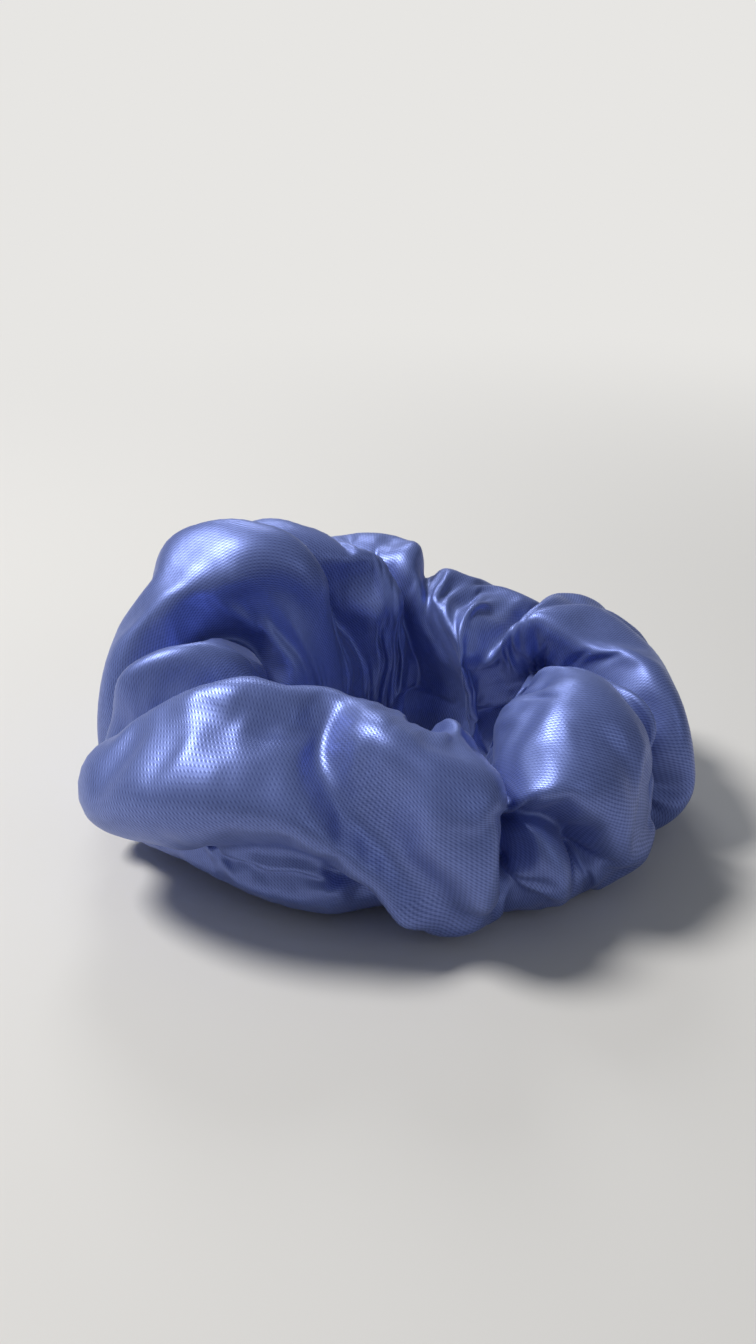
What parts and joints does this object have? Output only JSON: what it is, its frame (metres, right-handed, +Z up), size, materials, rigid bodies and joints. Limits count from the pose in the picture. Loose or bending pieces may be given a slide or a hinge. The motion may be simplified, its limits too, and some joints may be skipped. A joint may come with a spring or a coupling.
{
  "type": "scrunchie",
  "caption": "Gathered satin hair tie: a puffed cloth tube closed into a ring round a stretchy elastic loop, to hold a ponytail.",
  "frame": {"origin": "middle of the footprint, on the surface that the scrunchie lies on", "axes": "+Z up out of the surface and along the bore that the hair goes through, +X along the way that the loop stretches, which is also its longest side"},
  "size_m": [0.109, 0.1002, 0.048],
  "materials": {
    "satin": "satin weave with a soft sheen",
    "thread": "matte",
    "braid": "matte braid",
    "latex": "matte"
  },
  "bodies": {
    "left_half": {"satin_cover_left": "satin", "elastic_braid": "braid", "rubber_strands": "latex", "side_seam_needle_thread": "thread", "side_seam_bobbin_thread": "thread"},
    "right_half": {"satin_cover_right": "satin", "closing_seam_needle_thread": "thread", "closing_seam_bobbin_thread": "thread", "lap_stitches": "thread"}
  },
  "joints": [
    {"name": "stretch", "type": "slide", "parent": "left_half", "child": "right_half", "axis": [1, 0, 0], "range_m": [0, 0.08], "stiffness_N_per_m": 100, "deforming": ["elastic_braid", "rubber_strands", "side_seam_needle_thread", "side_seam_bobbin_thread"]}
  ]
}
